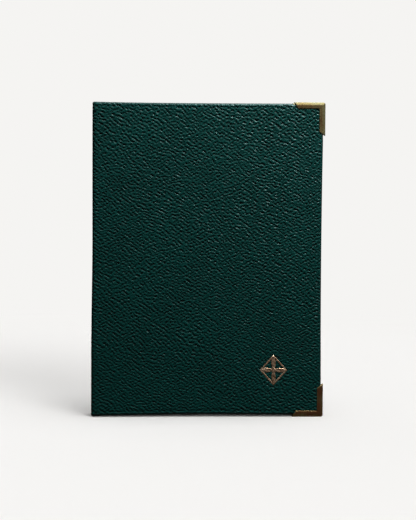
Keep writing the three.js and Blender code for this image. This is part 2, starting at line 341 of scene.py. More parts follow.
def brass_material():
    """Old brass: bright where it is handled and where painted light lies, brown in its hollows,
    finely scratched.
    """
    shader = Shader("aged_brass", Metallic=1.0)
    where = shader.place()
    patina = shader.noise(where, 210, 5.0, 0.65)
    wear_and_painted_light = shader.stored("wear_and_painted_light")
    shade = shader.math("ADD", patina, wear_and_painted_light)
    color = shader.ramp(
        shade,
        [(0.3, (0.32, 0.14, 0.065)), (0.65, (0.42, 0.33, 0.145)), (1.0, (0.46, 0.44, 0.235))],
    )
    shader.link(color, "Base Color")
    shader.link(shader.remap(shader.noise(where, 900, 4.0), 0.42, 0.62), "Roughness")
    stretched = shader.node(
        "ShaderNodeMapping", {"Vector": where, "Scale": (900.0, 900.0, 5200.0)}
    ).outputs["Vector"]
    scratches = shader.node(
        "ShaderNodeTexNoise", {"Vector": stretched, "Scale": 1.0, "Detail": 4.0}
    ).outputs["Fac"]
    first = shader.bump(scratches, 0.00001, 0.5)
    shader.link(shader.bump(shader.noise(where, 480, 3.0), 0.00005, 0.5, first), "Normal")
    return shader.material


def foil_material():
    """Hot-stamped foil, broken up slightly where it lies over the hide's furrows."""
    shader = Shader("stamp_foil", Metallic=1.0)
    where = shader.place()
    patches = shader.noise(where, 700, 5.0, 0.7)
    color = shader.ramp(patches, [(0.34, (0.12, 0.065, 0.035)), (0.48, (0.4, 0.26, 0.165)),
                                  (0.8, (0.56, 0.46, 0.36))])
    shader.link(color, "Base Color")
    shader.link(shader.remap(patches, 0.62, 0.46), "Roughness")
    shader.link(shader.bump(patches, 0.00003, 0.6), "Normal")
    return shader.material


# the first colour of each hide is its furrows' painted shade, the second its lit pebble tops
hide = leather_material(
    "cover_hide", (0.0002, 0.005, 0.0042), (0.0007, 0.031, 0.0265), 0.42, 0.00013, 0.00003
)
pocket_hide = leather_material(
    "pocket_hide", (0.002, 0.013, 0.0115), (0.006, 0.03, 0.026), 0.55, 0.0001, 0.00003
)
lining_cloth = cloth_material("lining_cloth", (0.012, 0.016, 0.014), (0.055, 0.062, 0.056), 1.6)
tape_cloth = cloth_material("tape_cloth", (0.02, 0.018, 0.015), (0.07, 0.062, 0.05), 1.3)
page_paper = paper_material("page_paper", (0.8, 0.745, 0.63), (0.85, 0.8, 0.69), 420)
kraft_card = paper_material("kraft_card", (0.36, 0.24, 0.13), (0.52, 0.38, 0.23), 420)
grey_board = paper_material("grey_board", (0.2, 0.17, 0.13), (0.32, 0.28, 0.22), 500)
thread = paper_material("linen_thread", (0.6, 0.54, 0.42), (0.78, 0.73, 0.62), 900)
aged_brass = brass_material()
stamp_foil = foil_material()


# ================================================================ shape of a cover
FORE_EDGE_SHIFT = -0.28  # where the fore-edge lies at mid-height
FORE_EDGE_HOLLOW = 0.55  # how much further out it lies at head and tail
SPINE_RISE = 0.72  # how much taller the hide is at the spine, at the head
SPINE_DROP = 0.4  # and at the tail
TAIL_ARCH = 0.3
FOOT_LEAN = 0.5


def settle(points):
    """A hand-made cover isn't a perfect rectangle: its fore-edge is slightly hollow
    between the corners, the hide stands taller towards the spine and just before
    the brass, the tail is slightly arched, and the spine leans out at its foot."""
    across, z = points[..., 0], points[..., 2]
    middle = (TAIL + HEAD) / 2
    from_middle = (z - middle) / (HEAD - middle)
    hollow = FORE_EDGE_SHIFT + FORE_EDGE_HOLLOW * from_middle**2
    from_brass = BRASS_LEG_REACH - np.abs(z - middle)
    near_edge = smoothstep(across, WIDTH - 30, WIDTH) * smoothstep(from_brass, -0.5, 3.0)
    taller = np.exp(-np.maximum(across, 0) / 26)
    near_head = smoothstep(z, HEAD - 30, HEAD)
    near_tail = smoothstep(z, TAIL + 30, TAIL)
    moved = points.copy()
    moved[..., 0] += hollow * near_edge
    before_brass = smoothstep(across, BRASS_REACH - 13.2, BRASS_REACH - 15.5)
    rising = (0.005 * across - 0.1) * before_brass
    arch = TAIL_ARCH * np.exp(-(((across - 48) / 24) ** 2))
    moved[..., 2] += (SPINE_RISE * taller + rising) * near_head
    moved[..., 2] += (arch - SPINE_DROP * taller) * near_tail
    foot = FOOT_LEAN * np.exp(-np.maximum(across, 0) / 8) * smoothstep(z, 80, 25)
    moved[..., 0] -= foot * smoothstep(np.abs(points[..., 1]), 0, 2.5)
    return moved


RIDGES = ridge_field(GRAIN_PITCH, 11)
SMALL_RIDGES = ridge_field(GRAIN_PITCH * 0.6, 12)


def grain_height(u, v):
    """Height of the pebbled grain from 0 to 1, over the unrolled hide."""
    warp_u = u + 1.6 * drift(u / 19, v / 19, 3)
    warp_v = v + 1.6 * drift(u / 23, v / 23, 5)
    ridges = read_field(RIDGES, warp_u, warp_v)
    ridges += 0.45 * read_field(SMALL_RIDGES, warp_u, warp_v)
    furrow, top = GRAIN_LEVELS
    pebbles = -np.log1p(np.exp(-2 * GRAIN_FLATNESS * ridges)) / GRAIN_FLATNESS + top
    return np.clip((pebbles - furrow) / (top - furrow), 0, 1)


def hide_relief(u, v, across, z, is_front):
    """Relief of the hide's outside in millimetres, and its grain from 0 to 1."""
    grain = grain_height(u, v)
    depth = GRAIN_DEPTH * (1 - GRAIN_FADE * smoothstep(z, HEAD * 0.8, TAIL))
    relief = depth * (grain - 0.5) + 0.03 * drift(u / 23, v / 23, 21)
    to_edge = np.minimum(np.minimum(WIDTH - across, HEAD - z), z - TAIL)
    crease = np.exp(-(((to_edge - CREASE_INSET) / 0.32) ** 2))
    from_middle = np.abs(z - (TAIL + HEAD) / 2)
    under_brass = smoothstep(across, WIDTH - 15, WIDTH - 12)
    under_brass *= smoothstep(from_middle, BRASS_LEG_REACH - 3, BRASS_LEG_REACH)
    crease *= 1 - under_brass
    rim = np.exp(-(((to_edge - 0.75) / 0.55) ** 2))
    rounded = 1 - smoothstep(to_edge, 0.2, 1.3)
    rounded = np.maximum(rounded, 0.5 * smoothstep(across, 2.0, 0.5))
    folded = 1 - smoothstep(to_edge, 0.3, 0.95)
    grain = grain * (1 - 0.7 * folded) + 0.1 * folded
    relief *= (1 - 0.35 * crease) * (1 - 0.8 * rounded) * (1 - 0.7 * folded)
    relief += RIM_HEIGHT * rim - CREASE_DEPTH * crease
    pinched = under_brass * smoothstep(to_edge, 2.3, 1.7)
    relief *= 1 - 0.8 * pinched
    if is_front:
        pressed = 1 - smoothstep(mark_distance(across, z), -0.2, 0.7)
        relief = relief * (1 - 0.55 * pressed) - 0.07 * pressed
    return relief, grain


# ---------------------------------------------------------------- the stamped mark
MARK_X = (MARK_LOW[0] + MARK_HIGH[0]) / 2 - SPINE_X
MARK_Z = (MARK_LOW[2] + MARK_HIGH[2]) / 2
MARK_HALF_X = (MARK_HIGH[0] - MARK_LOW[0]) / 2
MARK_HALF_Z = (MARK_HIGH[2] - MARK_LOW[2]) / 2


def mark_distance(across, z):
    """Roughly how far outside the lozenge a point lies, in millimetres."""
    reach = np.abs(across - MARK_X) / MARK_HALF_X + np.abs(z - MARK_Z) / MARK_HALF_Z
    return (reach - 1) * min(MARK_HALF_X, MARK_HALF_Z) * 0.75


# ------------------------------------------------------------------------ the skin
def edge_wrap():
    """The hide going round an edge and in over the board: how far each point stands
    past the edge (negative is inside it), and its depth from the outside."""
    reach, depth = [], []
    for turn in np.linspace(0, math.pi / 2, 6)[1:]:
        reach.append(-EDGE_ROUND + EDGE_ROUND * math.sin(turn))
        depth.append(EDGE_ROUND - EDGE_ROUND * math.cos(turn))
    for turn in np.linspace(0, math.pi / 2, 5):
        reach.append(-EDGE_ROUND + EDGE_ROUND * math.cos(turn))
        depth.append(HIDE_DEPTH - EDGE_ROUND + EDGE_ROUND * math.sin(turn))
    for inward in np.arange(EDGE_ROUND + 0.8, TURN_IN, 0.8):
        reach.append(-inward)
        depth.append(HIDE_DEPTH)
    reach += [-TURN_IN, -TURN_IN - 0.08, -TURN_IN - 0.08]
    depth += [HIDE_DEPTH, HIDE_DEPTH - 0.08, HIDE_DEPTH - 0.5]
    return np.array(reach), np.array(depth)


def path_length(*coordinates):
    """Distance along a path from its start to each of its points."""
    steps = np.sqrt(sum(np.diff(c) ** 2 for c in coordinates))
    return np.concatenate([[0], np.cumsum(steps)])


def ease_hinge(points, corner, side, share=1):
    """Lays the inside of the hinge back towards the outer corner of the spine."""
    away = np.hypot(points[..., 0] - corner[0], np.abs(points[..., 1]) - corner[1])
    give = HINGE_GIVE * smoothstep(away, 2.5, 0) * share
    points[..., 0] -= give
    points[..., 1] += side * give


def cover_skin(name, side):
    """Half of the outer hide, from the middle of the spine round one cover."""
    reach, depth = edge_wrap()
    rise = np.linspace(0, HALF - SPINE_ROUND, 11)[:-1]
    turn = np.linspace(0, math.pi / 2, 7)
    flat = np.linspace(SPINE_ROUND, WIDTH - EDGE_ROUND, int(WIDTH / GRAIN_STEP_ACROSS))[1:]
    across = np.concatenate(
        [0 * rise, SPINE_ROUND * (1 - np.cos(turn)), flat, WIDTH + reach]
    )
    out = np.concatenate(
        [rise, HALF - SPINE_ROUND * (1 - np.sin(turn)), HALF + 0 * flat, HALF + 0 * reach]
    )
    side_depth = np.concatenate([np.zeros(len(rise) + len(turn) + len(flat)), depth])
    u = path_length(across, out - side_depth)

    upright = np.linspace(TAIL + EDGE_ROUND, HEAD - EDGE_ROUND, int((HEAD - TAIL) / GRAIN_STEP_UP))
    z = np.concatenate([TAIL - reach[::-1], upright, HEAD + reach])
    end_depth = np.concatenate([depth[::-1], 0 * upright, depth])
    v = path_length(z, end_depth)
    v += TAIL + EDGE_ROUND - v[len(depth)]

    deep = np.maximum(side_depth[:, None], end_depth[None, :])
    points = np.empty((*deep.shape, 3))
    points[..., 0] = np.maximum(across[:, None], deep)
    points[..., 1] = side * np.minimum(out[:, None], HALF - deep)
    points[..., 2] = z[None, :]

    along_u = np.gradient(points, axis=0)
    along_v = np.gradient(points, axis=1)
    outward = np.cross(along_v, along_u) * side
    outward /= np.maximum(np.linalg.norm(outward, axis=2, keepdims=True), 1e-9)

    u_grid = side * u[:, None] + 0 * v[None, :]
    v_grid = v[None, :] + 0 * u[:, None]
    relief, grain = hide_relief(u_grid, v_grid, points[..., 0], points[..., 2], side < 0)
    hidden = smoothstep(deep, 0.5, HIDE_DEPTH)
    points += outward * (relief * (1 - 0.6 * hidden))[..., None]
    points = settle(points)
    turned_in = smoothstep(deep, 0.6, HIDE_DEPTH)
    ease_hinge(points, (HIDE_DEPTH, HALF - HIDE_DEPTH), side, turned_in)

    # the rolled cap at the tail of the spine
    on_spine = smoothstep(np.abs(points[..., 1]), HALF - 0.6, HALF - 2.0)
    on_spine *= smoothstep(points[..., 0], 4.0, 2.6)
    near_tail = smoothstep(points[..., 2], TAIL + 6, TAIL)
    points[..., 2] -= 0.5 * on_spine * near_tail

    rows, columns = deep.shape
    faces = quad_grid(rows, columns)
    if side > 0:
        faces = faces[:, ::-1]
    piece = make_mesh(name, points, faces, hide)
    keep_values(piece, "grain", grain.ravel())
    keep_values(piece, "rest", np.stack([u_grid, v_grid, 0 * u_grid], 2).reshape(-1, 3))
    return piece


def bend_at_spine(piece):
    """Bakes the piece's placement into its points."""
    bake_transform(piece)


front_skin = cover_skin("front_hide", -1)
back_skin = cover_skin("back_hide", 1)
bend_at_spine(front_skin)
bend_at_spine(back_skin)
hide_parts("front_leather", "spine_leather")
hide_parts("back_leather")


# ================================================================= thin flat pieces
def slab(top, bottom, wrap_rows=False):
    """Points and faces of a closed sheet between two equal grids of points."""
    rows, columns = top.shape[:2]
    count = rows * columns
    upper = quad_grid(rows, columns, wrap_rows)
    faces = [upper, upper[:, ::-1] + count]
    numbers = np.arange(count).reshape(rows, columns)
    rims = [numbers[:, 0][::-1], numbers[:, -1]]
    if wrap_rows:
        rims = [np.append(r, r[0]) for r in rims]
    else:
        rims += [numbers[0], numbers[-1][::-1]]
    for rim in rims:
        a, b = rim[:-1], rim[1:]
        faces.append(np.stack([b, a, a + count, b + count], 1))
    points = np.concatenate([top.reshape(-1, 3), bottom.reshape(-1, 3)])
    return points, np.concatenate(faces)


def joined(parts):
    """Points and faces of several parts as one list."""
    points, faces, start = [], [], 0
    for part_points, part_faces in parts:
        points.append(part_points)
        faces.append(part_faces + start)
        start += len(part_points)
    return np.concatenate(points), np.concatenate(faces)


def weld(piece):
    """Joins points that coincide, drops faces of no size, and points the rest outward."""
    work = bmesh.new()
    work.from_mesh(piece.data)
    bmesh.ops.remove_doubles(work, verts=work.verts, dist=0.5e-6)
    bmesh.ops.dissolve_degenerate(work, edges=work.edges, dist=0.5e-6)
    bmesh.ops.recalc_face_normals(work, faces=work.faces)
    work.to_mesh(piece.data)
    work.free()


def ribbon(path, thickness, z):
    """Points and faces of a sheet that stands upright along a path of (across, out)."""
    path = np.asarray(path, float)
    tangent = np.gradient(path, axis=0)
    tangent /= np.linalg.norm(tangent, axis=1, keepdims=True)
    normal = np.stack([-tangent[:, 1], tangent[:, 0]], 1)
    sides = []
    for offset in (thickness / 2, -thickness / 2):
        moved = path + normal * offset
        side = np.empty((len(path), len(z), 3))
        side[..., 0] = moved[:, None, 0]
        side[..., 1] = moved[:, None, 1]
        side[..., 2] = np.asarray(z)[None, :]
        sides.append(side)
    return slab(*sides)


# ------------------------------------------------------------------------- linings
LINING_LOW, LINING_HIGH = box_mm("back_lining")
LINING_UNDERLAP = 0.9  # how far the cloth runs on under the turned-in hide
LINING_BEND = 0.5  # radius where it turns from the spine to the cover


def cover_lining(name, side):
    """Cloth over half of the spine and one cover, in one piece through the hinge."""
    thickness = LINING_HIGH[1] - LINING_LOW[1]
    out = (LINING_HIGH[1] + LINING_LOW[1]) / 2
    spine = (box_mm("spine_lining")[0][0] + box_mm("spine_lining")[1][0]) / 2 - SPINE_X
    bend = LINING_BEND
    rise = np.linspace(0.02, out - bend, 8)[:-1]
    turn = np.linspace(0, math.pi / 2, 6)
    flat = np.linspace(spine + bend, LINING_HIGH[0] - SPINE_X + LINING_UNDERLAP, 60)[1:]
    across = np.concatenate([spine + 0 * rise, spine + bend * (1 - np.cos(turn)), flat])
    outs = np.concatenate([rise, out - bend * (1 - np.sin(turn)), out + 0 * flat])
    path = np.stack([across, side * outs], 1)
    low, high = LINING_LOW[2] - LINING_UNDERLAP, LINING_HIGH[2] + LINING_UNDERLAP
    z = np.linspace(low, high, 60)
    points, faces = ribbon(path, thickness, z)
    ease_hinge(points, (spine, out), side)
    piece = make_mesh(name, points, faces, lining_cloth)
    face_outward(piece)
    u = np.repeat(path_length(path[:, 0], path[:, 1]), len(z))
    v = np.tile(z, len(path))
    keep_values(piece, "rest", np.tile(np.stack([u, v, 0 * u], 1), (2, 1)))
    bend_at_spine(piece)
    return piece


front_lining = cover_lining("front_lining_cloth", -1)
back_lining = cover_lining("back_lining_cloth", 1)
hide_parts("front_lining", "spine_lining")
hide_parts("back_lining")


# ------------------------------------------------------------------ pocket leather
FLAP_THICKNESS = box_mm("front_flap")[1][1] - box_mm("front_flap")[0][1]
BACK_FLAP_LOW, BACK_FLAP_HIGH = box_mm("back_flap")
CARD_ROOM = BACK_FLAP_HIGH[1] - BACK_FLAP_LOW[1] - FLAP_THICKNESS
TOOLED_LINE_INSET = 1.1
TOOLED_LINE_DEPTH = 0.06


def pocket_flap(name, node, body, side, rise):
    """Leather along the fore-edge. With a rise, it stands off inside its glued rim."""
    low, high = box_mm(node)
    face = low[1] if side > 0 else -high[1]
    across = np.linspace(low[0], high[0], 60) - SPINE_X
    z = np.linspace(low[2], high[2], 170)
    a, h = np.meshgrid(across, z, indexing="ij")
    to_rim = np.minimum(np.minimum(h - z[0], z[-1] - h), across[-1] - a)
    to_edge = np.minimum(to_rim, a - across[0])
    lift = rise * smoothstep(to_rim, 1.4, 3.2)
    rounding = 0.22 * (1 - smoothstep(to_edge, -0.01, 0.5))
    # a finer piece of hide, cut from elsewhere for each of the two pockets
    grain = grain_height(a * 1.3 + 400 * side, h * 1.3 + 70)
    relief = 0.07 * (grain - 1.0) * smoothstep(to_edge, 0.2, 1.2) * (1 if rise else 0.8)
    tooled_line = TOOLED_LINE_DEPTH * np.exp(-(((to_edge - TOOLED_LINE_INSET) / 0.25) ** 2))
    raised = face + rise - lift
    top = np.stack([a, side * (raised + rounding - relief + tooled_line), h], 2)
    bottom = np.stack([a, side * (raised + FLAP_THICKNESS - rounding * 0.6), h], 2)
    points, faces = slab(top, bottom)
    piece = make_mesh(name, points, faces, pocket_hide)
    face_outward(piece)
    rest = np.stack([a, h, 0 * a], 2).reshape(-1, 3)
    keep_values(piece, "rest", np.tile(rest, (2, 1)))
    keep_values(piece, "grain", np.tile(grain.ravel(), 2))
    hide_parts(node)
    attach(piece, body)


pocket_flap("front_pocket", "front_flap", "front_cover", -1, 0)
pocket_flap("back_pocket", "back_flap", "back_cover", 1, CARD_ROOM)


# =================================================================== brass corners
CORNER_FACE = 2.6  # width of the brass as seen from the front
CORNER_SLANT = 1.7  # how much shorter a leg is along its inner side
CORNER_BEVEL = (0.95, 0.3)  # across the face and down the side
BEVEL_FLATNESS = 2.0  # 1 is a round edge, 2 a plain chamfer
BRASS_WALL = 0.35
GLUE_GAP = 0.05  # between the hide's edge and the inside of the channel
CORNER_TURN_ROUND = 0.95  # radius of the turn from one leg to the other
BRASS_SINK = 0.2  # the flanges are pressed this far into the soft hide
BRASS_SKIN = HALF + CORNER_LOW[1] + BRASS_SINK  # depth of the flange's face, negative is proud


def channel_section():
    """The folded channel, as points on its outside and on its inside. Each is
    (distance in from the outer edge, depth from the outside of the hide)."""
    front = BRASS_SKIN
    back = front + CORNER_HIGH[1] - CORNER_LOW[1] - 2 * BRASS_SINK
    lip = [
        (CORNER_FACE, 0.24),
        (CORNER_FACE - 0.01, 0.06),
        (CORNER_FACE - 0.05, 0.01),
        (CORNER_FACE - 0.15, 0.0),
        (CORNER_FACE * 0.66, 0.0),
    ]
    bend = []
    for turn in np.linspace(0, math.pi / 2, 8):
        across = CORNER_BEVEL[0] * (1 - math.sin(turn) ** BEVEL_FLATNESS)
        down = CORNER_BEVEL[1] * (1 - abs(math.cos(turn)) ** BEVEL_FLATNESS)
        bend.append((across, down))
    half = lip + bend
    outer = [(n, front + d) for n, d in half] + [(n, back - d) for n, d in half[::-1]]
    reach = BRASS_REACH - WIDTH - GLUE_GAP
    inner = [
        (max(n, reach), min(max(d, front + BRASS_WALL), back - BRASS_WALL)) for n, d in outer
    ]
    return np.array(outer), np.array(inner)


def leg_stations(n, length):
    """Distances along one leg, from its slanted end to the turn of the corner, for
    points that lie n in from the outer edge."""
    start = length - CORNER_SLANT * n / CORNER_FACE
    steps = np.concatenate([[0, 0.006, 0.02], np.linspace(0.05, 1, 14)])
    return [np.maximum(start + (CORNER_TURN_ROUND - start) * step, n) for step in steps]


def corner_rows(n):
    """The sweep round a corner, as distances in from the fore-edge and from the end
    of the brass, for points that lie n in from the outer edge."""
    flat_leg = leg_stations(n, CORNER_HIGH[0] - CORNER_LOW[0])
    upright_leg = leg_stations(n, CORNER_HIGH[2] - CORNER_LOW[2])
    rows = [(along, n) for along in flat_leg]
    inward = np.maximum(n - CORNER_TURN_ROUND, 0)
    radius = np.maximum(CORNER_TURN_ROUND - n, 0)
    for turn in np.linspace(0, math.pi / 2, 9)[1:-1]:
        from_edge = CORNER_TURN_ROUND + inward - radius * math.sin(turn)
        from_end = CORNER_TURN_ROUND + inward - radius * math.cos(turn)
        rows.append((from_edge, from_end))
    return rows + [(n, along) for along in upright_leg[::-1]]


def corner_piece(name, side, at_head, body):
    """The channel swept round the corner of a cover, with its ends cut at a slant."""
    sections = channel_section()
    grids = []
    for section in sections:
        n, depth = section[:, 0], section[:, 1]
        rows = corner_rows(n)
        grid = np.empty((len(rows), len(n), 3))
        for index, (from_edge, from_end) in enumerate(rows):
            grid[index, :, 0] = BRASS_REACH - from_edge
            grid[index, :, 1] = side * (HALF - depth)
            grid[index, :, 2] = BRASS_TOP - from_end if at_head else from_end
        grids.append(grid)
    outer, inner = grids
    filed = np.zeros(len(outer))  # the cut ends are filed down
    filed[[0, -1]] = 0.12
    filed[[1, -2]] = 0.03
    on_outside = np.abs(outer[:, :, 1]) > HALF - 0.2
    outer[:, :, 1] -= side * filed[:, None] * np.where(on_outside, 1, -0.5)
    points, faces = slab(outer, inner)
    piece = make_mesh(name, points, faces, aged_brass)

    # painted light and wear: the corners at the head are rubbed and lit brighter than those at the
    # tail, which carry painted shade
    rubbed_and_lit = 1.0 if at_head else 0.25
    # across the channel: the worn outer edge is brighter, a painted dark line lies just past the
    # bevel, and the lip carries a painted highlight
    edge_wear_and_painted_light = np.interp(
        sections[0][:, 0],
        [0, 0.3, 1.1, 1.3, CORNER_FACE],
        [0.3 * rubbed_and_lit, 0.3 * rubbed_and_lit, 0.2 * rubbed_and_lit, -0.12, 0.1],
    )
    wear_and_painted_light = np.repeat(edge_wear_and_painted_light[None, :], len(outer), 0)
    wear_and_painted_light[[0, 1, 2, -3, -2, -1]] += 0.22
    # painted light at the head, and painted shade at the tail, which is darker and redder
    wear_and_painted_light += 0.06 if at_head else -0.16
    inside_wear = np.full(wear_and_painted_light.size, -0.2)
    keep_values(piece, "wear_and_painted_light", np.concatenate([wear_and_painted_light.ravel(), inside_wear]))
    weld(piece)
    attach(piece, body)
    return piece


for label, side in (("front", -1), ("back", 1)):
    for place in ("head", "tail"):
        name = f"{label}_{place}_brass"
        corner = corner_piece(name, side, place == "head", f"{label}_cover")
        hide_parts(f"{label}_corner_{place}")


# ================================================================= the stamped mark
FOIL_LIFT = 0.03
MARK_LINE = 0.75
PETAL_WIDTH = 1.9


def front_surface(across, z):
    """Points on the outside of the front cover's hide."""
    u = HALF - SPINE_ROUND + SPINE_ROUND * math.pi / 2 + across - SPINE_ROUND
    relief, _ = hide_relief(-u, z, across, z, True)
    return settle(np.stack([across, -HALF - relief, z], -1))


def foil_patch(across, z, wrap_rows=False):
    """A patch of foil that lies on the grain, half sunk in it."""
    top = front_surface(across, z)
    bottom = top.copy()
    top[..., 1] -= FOIL_LIFT
    bottom[..., 1] += FOIL_LIFT
    return slab(top, bottom, wrap_rows)


def foil_mark():
    """A bookbinder's lozenge: a thin diamond frame round four petals."""
    parts = []
    tips = [(1, 0), (0, 1), (-1, 0), (0, -1)]
    shrink = 1 - MARK_LINE * math.hypot(1 / MARK_HALF_X, 1 / MARK_HALF_Z)
    ring = []
    for (x1, z1), (x2, z2) in zip(tips, tips[1:] + tips[:1]):
        for t in np.linspace(0, 1, 27)[:-1]:
            ring.append((x1 + (x2 - x1) * t, z1 + (z2 - z1) * t))
    ring = np.array(ring)
    scale = np.linspace(1, shrink, 4)
    parts.append(foil_patch(MARK_X + MARK_HALF_X * ring[:, :1] * scale,
                            MARK_Z + MARK_HALF_Z * ring[:, 1:] * scale, True))
    t = np.linspace(0.02, 0.98, 22)[:, None]
    s = np.linspace(-1, 1, 9)[None, :]
    for quarter, reach in enumerate([MARK_HALF_Z, MARK_HALF_X] * 2):
        length = reach - MARK_LINE / 2
        sideways = s * 2 * t * (1 - t) * PETAL_WIDTH
        forward = t * length + 0 * s
        turn = quarter * math.pi / 2
        across = MARK_X + sideways * math.cos(turn) - forward * math.sin(turn)
        z = MARK_Z + sideways * math.sin(turn) + forward * math.cos(turn)
        parts.append(foil_patch(across, z))
    angle = np.linspace(0, 2 * math.pi, 33)[:-1, None]
    radius = np.linspace(0.01, 0.6 * PETAL_WIDTH, 6)[None, :]
    boss_across = MARK_X + radius * np.cos(angle)
    boss_z = MARK_Z + radius * np.sin(angle)
    parts.append(foil_patch(boss_across, boss_z, True))
    points, faces = joined(parts)
    piece = make_mesh("stamped_mark", points, faces, stamp_foil)
    face_outward(piece)
    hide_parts("foil_mark")
    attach(piece, "front_cover")


foil_mark()


# =========================================================================== refill
PAGE_LOW, PAGE_HIGH = box_mm("signature_1")
FOLD = PAGE_LOW[0] - SPINE_X
PAGE_END = PAGE_HIGH[0] - SPINE_X
LEAF = 0.085  # thickness
SHEETS = 4  # folded sheets in a signature
TRIM_SPREAD = 0.12  # how unevenly the leaves are cut


def leaf_stations():
    """Places along a leaf from its fold, closer together near it."""
    near = np.linspace(0, 6, 8)
    far = np.linspace(6, PAGE_END - FOLD, 14)[1:]
    return np.concatenate([near, far])


def signature(number, body):
    """Folded sheets, one inside the other."""
    low, high = box_mm(f"signature_{number}")
    middle = (low[1] + high[1]) / 2
    pitch = (high[1] - low[1]) / (2 * SHEETS)
    trim = np.random.default_rng(40 + number)
    turns = np.linspace(math.pi / 2, -math.pi / 2, 7)[1:-1]
    stations = leaf_stations()
    parts = []
    for nest in range(SHEETS):
        offset = pitch * (nest + 0.5)
        start = FOLD + (SHEETS - 1 - nest) * pitch + offset
        end = PAGE_END - trim.uniform(0, TRIM_SPREAD)
        across = start + stations * (end - start) / stations[-1]
        path = [(a, middle + offset) for a in across[::-1]]
        path += [(start - offset * math.cos(t), middle + offset * math.sin(t)) for t in turns]
        path += [(a, middle - offset) for a in across]
        shift = trim.uniform(-TRIM_SPREAD / 2, TRIM_SPREAD / 2)
        z = np.linspace(low[2] + 0.1 + shift, high[2] - 0.1 + shift, 9)
        parts.append(ribbon(path, LEAF, z))
    points, faces = joined(parts)
    piece = make_mesh(f"signature_{number}_leaves", points, faces, page_paper, smooth=False)
    face_outward(piece)
    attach(piece, body)
    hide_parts(f"signature_{number}")


for number, body in enumerate(["signature_1", "signature_2", "signature_3", "back_cover"], 1):
    signature(number, body)


CARD_CORNER_RADIUS = 3.0


def card(name, node, body):
    """Stiff cover of the refill, with rounded corners."""
    low, high = box_mm(node)
    radius = CARD_CORNER_RADIUS
    rounded = PAGE_END - radius * (1 - np.sin(np.linspace(0, math.pi / 2, 8)))
    across = np.unique(np.round(np.concatenate([leaf_stations()[:-1] + FOLD, rounded]), 4))
    over = np.clip(across - (PAGE_END - radius), 0, radius)
    shorter = radius - np.sqrt(radius**2 - over**2)
    middle, half = (low[2] + high[2]) / 2, (high[2] - low[2]) / 2
    z = middle + np.linspace(-1, 1, 25)[None, :] * (half - shorter)[:, None]
    a = across[:, None] + 0 * z
    top = np.stack([a, high[1] + 0 * z, z], 2)
    bottom = np.stack([a, low[1] + 0 * z, z], 2)
    points, faces = slab(top, bottom)
    piece = make_mesh(name, points, faces, kraft_card, smooth=False)
    face_outward(piece)
    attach(piece, body)
    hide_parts(node)


card("front_kraft_card", "front_card", "front_card")
card("back_kraft_card", "back_card", "back_cover")


TAPE_THICKNESS = 0.3
TAPE_BEND = 0.25


def spine_tape():
    """Cloth tape folded over the backs of the sewn folds."""
    low, high = box_mm("spine_tape")
    left = low[0] - SPINE_X + TAPE_THICKNESS / 2
    top, bottom = low[1], high[1] - TAPE_THICKNESS / 2
    rise = np.linspace(top, bottom - TAPE_BEND, 10)
    turn = np.linspace(0, math.pi / 2, 5)[1:]
    flat = np.linspace(left + TAPE_BEND, high[0] - SPINE_X, 16)[1:]
    across = np.concatenate([left + 0 * rise, left + TAPE_BEND * (1 - np.cos(turn)), flat])
    outs = np.concatenate([rise, bottom - TAPE_BEND * (1 - np.sin(turn)), bottom + 0 * flat])
    path = np.stack([across, outs], 1)
    z = np.linspace(low[2], high[2], 40)
    points, faces = ribbon(path, TAPE_THICKNESS, z)
    piece = make_mesh("folded_spine_tape", points, faces, tape_cloth)
    face_outward(piece)
    u = np.repeat(path_length(path[:, 0], path[:, 1]), len(z))
    v = np.tile(z, len(path))
    keep_values(piece, "rest", np.tile(np.stack([u, v, 0 * u], 1), (2, 1)))
    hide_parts("spine_tape")
    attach(piece, "back_cover")


spine_tape()


THREAD_TWIST = 1.3  # rise of half a turn of the two plies


def twisted_thread():
    """Two-ply linen thread lying along the folds."""
    low, high = box_mm("sewing_thread")
    centre = (low + high) / 2
    radius = (high[0] - low[0]) / 2
    z = np.linspace(low[2], high[2], 500)
    angle = np.linspace(0, 2 * math.pi, 13)[:-1]
    twist = z / THREAD_TWIST * math.pi
    lobes = 0.72 + 0.28 * np.abs(np.cos(angle[None, :] - twist[:, None]))
    grid = np.empty((len(z), len(angle), 3))
    grid[..., 0] = centre[0] - SPINE_X + radius * lobes * np.cos(angle)
    grid[..., 1] = centre[1] + radius * lobes * np.sin(angle)
    grid[..., 2] = z[:, None]
    faces = quad_grid(*grid.shape[:2], wrap_columns=True).tolist()
    faces.append(list(range(len(angle))))
    last = len(z) * len(angle)
    faces.append(list(range(last - len(angle), last)))
    piece = make_mesh("twisted_thread", grid, faces, thread)
    face_outward(piece)
    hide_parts("sewing_thread")
    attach(piece, "back_cover")


twisted_thread()

for name in ("front_board", "back_board", "spine_board"):
    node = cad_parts[name]
    node.data.materials.clear()
    node.data.materials.append(grey_board)


# ========================================================================= the stage
BACKDROP = (0.913, 0.905, 0.888)
FLOOR_ALBEDO = (0.842, 0.835, 0.827)
NEAR_FLOOR = 0.22  # the real floor, which takes the shadow, reaches this far
FAR_FLOOR = 0.50  # beyond this it is as plain as the backdrop
STAGE_RADIUS = 1.6
SKY_STOPS = [  # height of the direction from 0, straight down, to 1, straight up
    (0.0, 0.15),
    (0.3, 0.06),
    (0.45, 0.01),
    (0.58, 0.015),
    (0.72, 0.08),
    (0.9, 0.35),
    (0.98, 0.7),
]


def emission_material(name, color):
    """A material that only glows, and takes no light or shadow."""
    material = bpy.data.materials.new(name)
    material.use_nodes = True
    tree = material.node_tree
    tree.nodes.clear()
    glow = tree.nodes.new("ShaderNodeEmission")
    glow.inputs["Color"].default_value = (*color, 1)
    end = tree.nodes.new("ShaderNodeOutputMaterial")
    tree.links.new(glow.outputs[0], end.inputs["Surface"])
    return material


